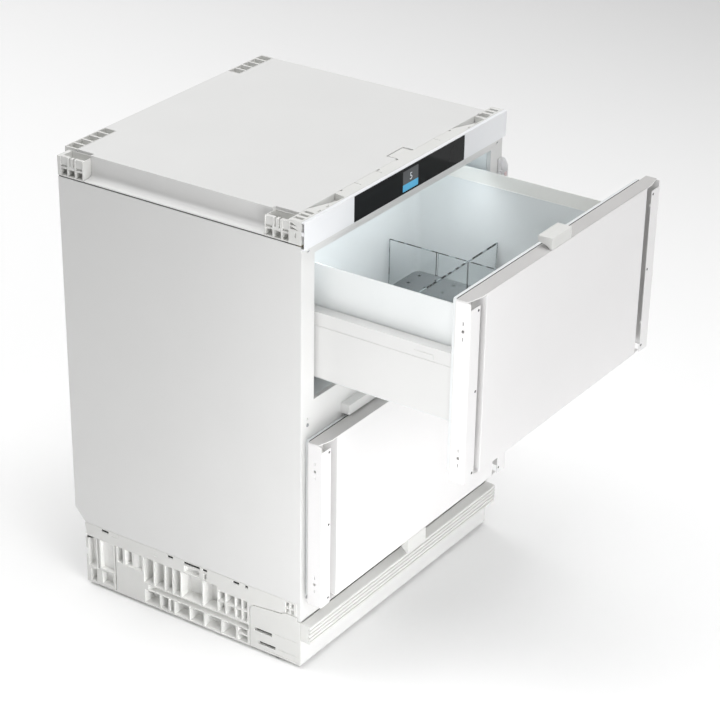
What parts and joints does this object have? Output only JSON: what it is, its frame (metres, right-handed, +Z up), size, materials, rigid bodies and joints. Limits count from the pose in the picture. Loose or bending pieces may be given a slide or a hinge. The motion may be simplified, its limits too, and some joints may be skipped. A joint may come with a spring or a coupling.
{
  "type": "undercounter drawer refrigerator",
  "caption": "Built-in undercounter refrigerator with two sliding drawers, a touch panel in the head strip, a louvred base and a moulded bay for the compressor.",
  "frame": {"origin": "middle of the overall footprint on the floor, with the upper drawer pulled 268 mm out and the lower one shut", "axes": "+Z up, the drawers open towards -Y, +X to the right as seen from the front"},
  "size_m": [0.597, 0.8078, 0.826],
  "materials": {
    "white_steel": "satin white powder coat",
    "insulation": "rigid foam",
    "liner_plastic": "satin, thermoformed",
    "white_plastic": "moulded, satin",
    "fascia_plastic": "smooth white",
    "black_glass": "black-backed, glossy",
    "dark_plastic": "moulded, matte",
    "clear_plastic": "clear, glossy",
    "grey_mat": "matte, perforated",
    "gasket_rubber": "matte extruded seal",
    "zinc_steel": "zinc plated",
    "black_enamel": "black stove enamel",
    "aluminium": "mill finish"
  },
  "bodies": {
    "cabinet": {"left_side_panel": "white_steel", "right_side_panel": "white_steel", "back_panel": "white_steel", "top_cover": "white_steel", "front_frame": "white_steel", "plinth_panel": "white_steel", "foam_body": "insulation", "upper_liner": "liner_plastic", "lower_liner": "liner_plastic", "rear_left_corner_block": "white_plastic", "rear_right_corner_block": "white_plastic", "front_top_moulding": "white_plastic", "fixing_bracket": "white_plastic", "base_moulding": "white_plastic", "left_base_cover": "white_plastic", "right_base_cover": "white_plastic", "louvre_grille": "white_plastic", "control_fascia": "fascia_plastic", "touch_glass": "black_glass", "display_module": "dark_plastic", "power_inlet": "dark_plastic", "fan_shroud": "dark_plastic", "light_cover": "clear_plastic", "rear_cover": "zinc_steel", "upper_left_fixed_rail": "zinc_steel", "upper_right_fixed_rail": "zinc_steel", "lower_left_fixed_rail": "zinc_steel", "lower_right_fixed_rail": "zinc_steel", "compressor": "black_enamel", "condenser": "aluminium", "evaporator_plate": "aluminium"},
    "upper_drawer": {"upper_door_panel": "white_steel", "upper_door_inner_plate": "white_plastic", "upper_door_gasket": "gasket_rubber", "upper_left_mount_rail": "white_steel", "upper_right_mount_rail": "white_steel", "upper_bin": "liner_plastic", "upper_left_side_profile": "white_steel", "upper_right_side_profile": "white_steel", "upper_door_hook": "white_plastic", "bin_mat": "grey_mat", "bottle_divider": "clear_plastic"},
    "lower_drawer": {"lower_door_panel": "white_steel", "lower_door_inner_plate": "white_plastic", "lower_door_gasket": "gasket_rubber", "lower_left_mount_rail": "white_steel", "lower_right_mount_rail": "white_steel", "lower_bin": "liner_plastic", "lower_left_side_profile": "white_steel", "lower_right_side_profile": "white_steel", "lower_door_tab": "white_plastic"},
    "upper_left_middle_rail": {"upper_left_middle_rail": "zinc_steel"},
    "upper_right_middle_rail": {"upper_right_middle_rail": "zinc_steel"},
    "lower_left_middle_rail": {"lower_left_middle_rail": "zinc_steel"},
    "lower_right_middle_rail": {"lower_right_middle_rail": "zinc_steel"},
    "fan": {"fan_rotor": "dark_plastic"},
    "front_left_foot": {"front_left_foot": "dark_plastic"},
    "front_right_foot": {"front_right_foot": "dark_plastic"},
    "rear_left_foot": {"rear_left_foot": "dark_plastic"},
    "rear_right_foot": {"rear_right_foot": "dark_plastic"}
  },
  "joints": [
    {"name": "upper_drawer_slide", "type": "slide", "parent": "cabinet", "child": "upper_drawer", "axis": [0, -1, 0], "range_m": [-0.268, 0.14]},
    {"name": "lower_drawer_slide", "type": "slide", "parent": "cabinet", "child": "lower_drawer", "axis": [0, -1, 0], "range_m": [0, 0.27]},
    {"name": "upper_left_middle_rail_slide", "type": "slide", "parent": "cabinet", "child": "upper_left_middle_rail", "axis": [0, -1, 0], "range_m": [-0.134, 0.07]},
    {"name": "upper_right_middle_rail_slide", "type": "slide", "parent": "cabinet", "child": "upper_right_middle_rail", "axis": [0, -1, 0], "range_m": [-0.134, 0.07]},
    {"name": "lower_left_middle_rail_slide", "type": "slide", "parent": "cabinet", "child": "lower_left_middle_rail", "axis": [0, -1, 0], "range_m": [0, 0.135]},
    {"name": "lower_right_middle_rail_slide", "type": "slide", "parent": "cabinet", "child": "lower_right_middle_rail", "axis": [0, -1, 0], "range_m": [0, 0.135]},
    {"name": "fan_spin", "type": "hinge", "parent": "cabinet", "child": "fan", "pos_m": [0, 0.0419, 0.066], "axis": [0, 1, 0], "continuous": true},
    {"name": "front_left_foot_screw", "type": "slide", "parent": "cabinet", "child": "front_left_foot", "axis": [0, 0, -1], "range_m": [0, 0.05]},
    {"name": "front_right_foot_screw", "type": "slide", "parent": "cabinet", "child": "front_right_foot", "axis": [0, 0, -1], "range_m": [0, 0.05]},
    {"name": "rear_left_foot_screw", "type": "slide", "parent": "cabinet", "child": "rear_left_foot", "axis": [0, 0, -1], "range_m": [0, 0.05]},
    {"name": "rear_right_foot_screw", "type": "slide", "parent": "cabinet", "child": "rear_right_foot", "axis": [0, 0, -1], "range_m": [0, 0.05]}
  ],
  "couplings": [
    {"joint": "upper_left_middle_rail_slide", "follows": "upper_drawer_slide", "ratio": 0.5},
    {"joint": "upper_right_middle_rail_slide", "follows": "upper_drawer_slide", "ratio": 0.5},
    {"joint": "lower_left_middle_rail_slide", "follows": "lower_drawer_slide", "ratio": 0.5},
    {"joint": "lower_right_middle_rail_slide", "follows": "lower_drawer_slide", "ratio": 0.5}
  ]
}
